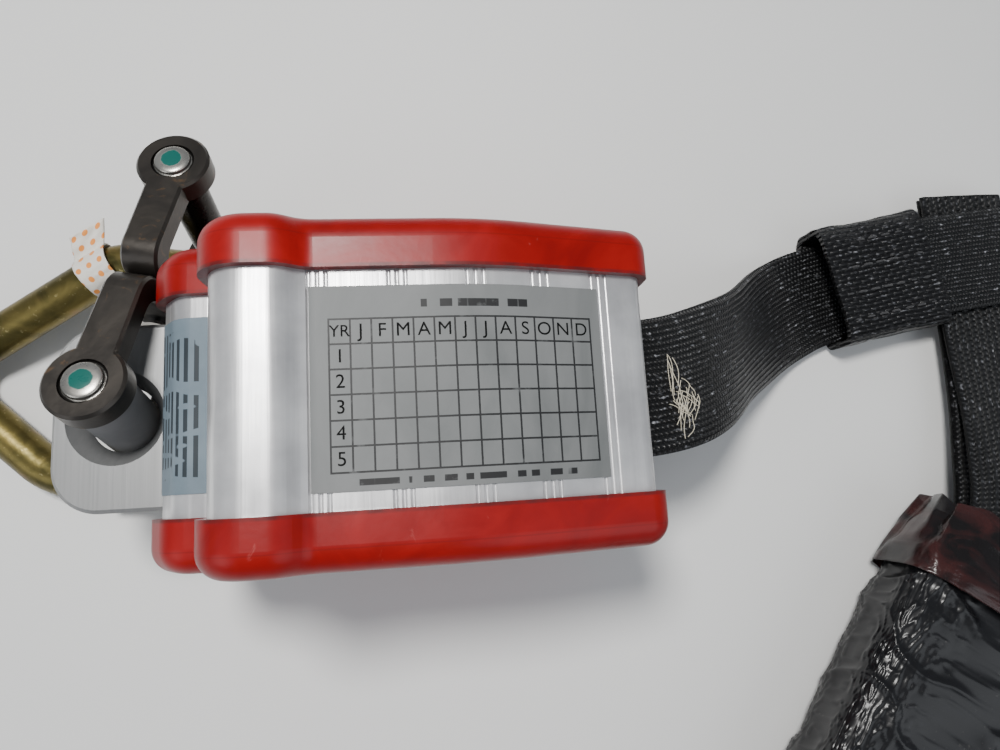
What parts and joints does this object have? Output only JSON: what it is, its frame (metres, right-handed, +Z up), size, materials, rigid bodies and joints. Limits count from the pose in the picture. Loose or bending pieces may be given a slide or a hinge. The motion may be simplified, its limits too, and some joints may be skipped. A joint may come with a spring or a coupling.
{
  "type": "self retracting web lanyard",
  "caption": "Compact self-retracting web lanyard with red bumpers, a swivelling double jaw, a locking carabiner, a black web lifeline and a shrink-wrapped shock pack with a snap hook.",
  "frame": {"origin": "on the table under the spool's axis, in the middle of the housing's width", "axes": "+X from the anchor end towards the webbing exit, +Y along the spool's axis, +Z up from the surface the lanyard lies on"},
  "size_m": [0.2702, 0.2749, 0.0678],
  "materials": {
    "shell_aluminium": "extruded, satin, lightly scratched",
    "bumper_red": "glossy, moulded",
    "frame_steel": "stamped, zinc plated",
    "bush_bronze": "sintered",
    "spring_steel": "blued",
    "spool_metal": "turned",
    "axle_steel": "ground",
    "coil_webbing": "woven black polyester",
    "nozzle_plastic": "moulded, matte",
    "inspection_film": "grey satin film with a printed grid",
    "rating_film": "blue-grey satin film",
    "plate_aluminium": "milled, fine lines",
    "sleeve_grey": "satin",
    "jaw_dark": "forged, dark oxide",
    "pin_nickel": "nickel plated, a teal paint dot on each head",
    "carabiner_zinc": "olive-gold zinc plate",
    "tape_white": "white cloth tape with orange dots",
    "sleeve_webbing": "coarse woven black",
    "thread_black": "sewing thread",
    "pack_webbing": "folded tear webbing",
    "shrink_film": "glossy black film, creased",
    "clear_film": "clear film, creased",
    "hook_steel": "forged, zinc plated"
  },
  "bodies": {
    "housing": {"front_shell": "shell_aluminium", "rear_shell": "shell_aluminium", "bumper_upper": "bumper_red", "bumper_lower": "bumper_red", "frame_plate_upper": "frame_steel", "frame_plate_lower": "frame_steel", "tie_bolts": "frame_steel", "tie_nuts": "frame_steel", "anchor_bolt": "frame_steel", "anchor_nut": "frame_steel", "axle_bush_upper": "bush_bronze", "axle_bush_lower": "bush_bronze", "ratchet_ring": "frame_steel", "spring_cup": "frame_steel", "power_spring": "spring_steel", "exit_nozzle": "nozzle_plastic", "inspection_label": "inspection_film", "rating_label": "rating_film", "anchor_plate": "plate_aluminium", "bumper_screws": "frame_steel", "lifeline_strap": "coil_webbing", "strap_end_sleeve": "sleeve_webbing", "strap_stitching": "thread_black", "pack_upper_loop": "sleeve_webbing", "pack_core": "pack_webbing", "pack_wrap": "shrink_film", "pack_cuff": "clear_film", "pack_lower_loop": "sleeve_webbing", "hook_body": "hook_steel", "hook_pins": "hook_steel"},
    "drum": {"spool_axle": "axle_steel", "web_spool": "spool_metal", "webbing_coil": "coil_webbing", "spring_arbor": "spool_metal", "pawl_pins": "axle_steel", "pawl_springs": "spring_steel"},
    "pawl_a_body": {"pawl_a": "axle_steel"},
    "pawl_b_body": {"pawl_b": "axle_steel"},
    "plate_sleeve": {"anchor_sleeve": "sleeve_grey"},
    "lower_swivel": {"lower_jaw": "jaw_dark", "lower_pin": "pin_nickel", "swivel_rivet": "pin_nickel", "swivel_washer": "pin_nickel"},
    "upper_swivel": {"upper_jaw": "jaw_dark", "upper_pin": "pin_nickel"},
    "carabiner": {"carabiner_body": "carabiner_zinc", "gate_pin": "carabiner_zinc", "tape_flag": "tape_white"},
    "gate": {"carabiner_gate": "carabiner_zinc", "gate_spring": "spring_steel"},
    "lock_sleeve": {"gate_sleeve": "carabiner_zinc"},
    "hook_gate_body": {"hook_gate": "hook_steel"},
    "hook_lever_body": {"hook_lever": "hook_steel"}
  },
  "joints": [
    {"name": "drum_spin", "type": "hinge", "parent": "housing", "child": "drum", "pos_m": [0, 0, 0.033], "axis": [0, 1, 0], "continuous": true},
    {"name": "pawl_a_swing", "type": "hinge", "parent": "drum", "child": "pawl_a_body", "pos_m": [-0.01449, 0, 0.02912], "axis": [0, 1, 0], "range_deg": [0, 16], "stiffness_Nm_per_rad": 0.002, "springref_deg": -11.46},
    {"name": "pawl_b_swing", "type": "hinge", "parent": "drum", "child": "pawl_b_body", "pos_m": [0.01449, 0, 0.03688], "axis": [0, 1, 0], "range_deg": [0, 16], "stiffness_Nm_per_rad": 0.002, "springref_deg": -11.46},
    {"name": "anchor_tilt", "type": "hinge", "parent": "housing", "child": "plate_sleeve", "pos_m": [-0.0455, 0, 0.033], "axis": [1, 0, 0], "range_deg": [-1.5, 1]},
    {"name": "anchor_turn", "type": "hinge", "parent": "plate_sleeve", "child": "lower_swivel", "pos_m": [-0.0455, 0, 0.033], "axis": [0, 0.2756, 0.9613], "range_deg": [0, 12]},
    {"name": "swivel_spin", "type": "hinge", "parent": "lower_swivel", "child": "upper_swivel", "pos_m": [-0.03651, 0.04444, 0.02026], "axis": [0.1908, 0.9436, -0.2706], "range_deg": [0, 2.5]},
    {"name": "carabiner_swing", "type": "hinge", "parent": "upper_swivel", "child": "carabiner", "pos_m": [-0.03651, 0.04444, 0.02026], "axis": [0, 0.2756, 0.9613], "range_deg": [0, 1]},
    {"name": "gate_hinge", "type": "hinge", "parent": "carabiner", "child": "gate", "pos_m": [-0.03671, -0.01227, 0.00833], "axis": [0.1258, 0.154, -0.98], "range_deg": [0, 14], "stiffness_Nm_per_rad": 0.05, "springref_deg": -20.05},
    {"name": "lock_twist", "type": "hinge", "parent": "gate", "child": "lock_sleeve", "pos_m": [-0.05258, -0.01152, 0.00641], "axis": [-0.9917, 0.0469, -0.1199], "range_deg": [0, 80], "stiffness_Nm_per_rad": 0.01, "springref_deg": -20.05},
    {"name": "hook_gate_hinge", "type": "hinge", "parent": "housing", "child": "hook_gate_body", "pos_m": [0.04193, -0.16606, 0.00831], "axis": [-0.031, -0.0443, 0.9985], "range_deg": [0, 20], "stiffness_Nm_per_rad": 0.05, "springref_deg": -20.05},
    {"name": "hook_lever_rock", "type": "hinge", "parent": "housing", "child": "hook_lever_body", "pos_m": [0.05332, -0.18988, 0.0076], "axis": [-0.031, -0.0443, 0.9985], "range_deg": [0, 5], "stiffness_Nm_per_rad": 0.3, "springref_deg": -11.46}
  ]
}
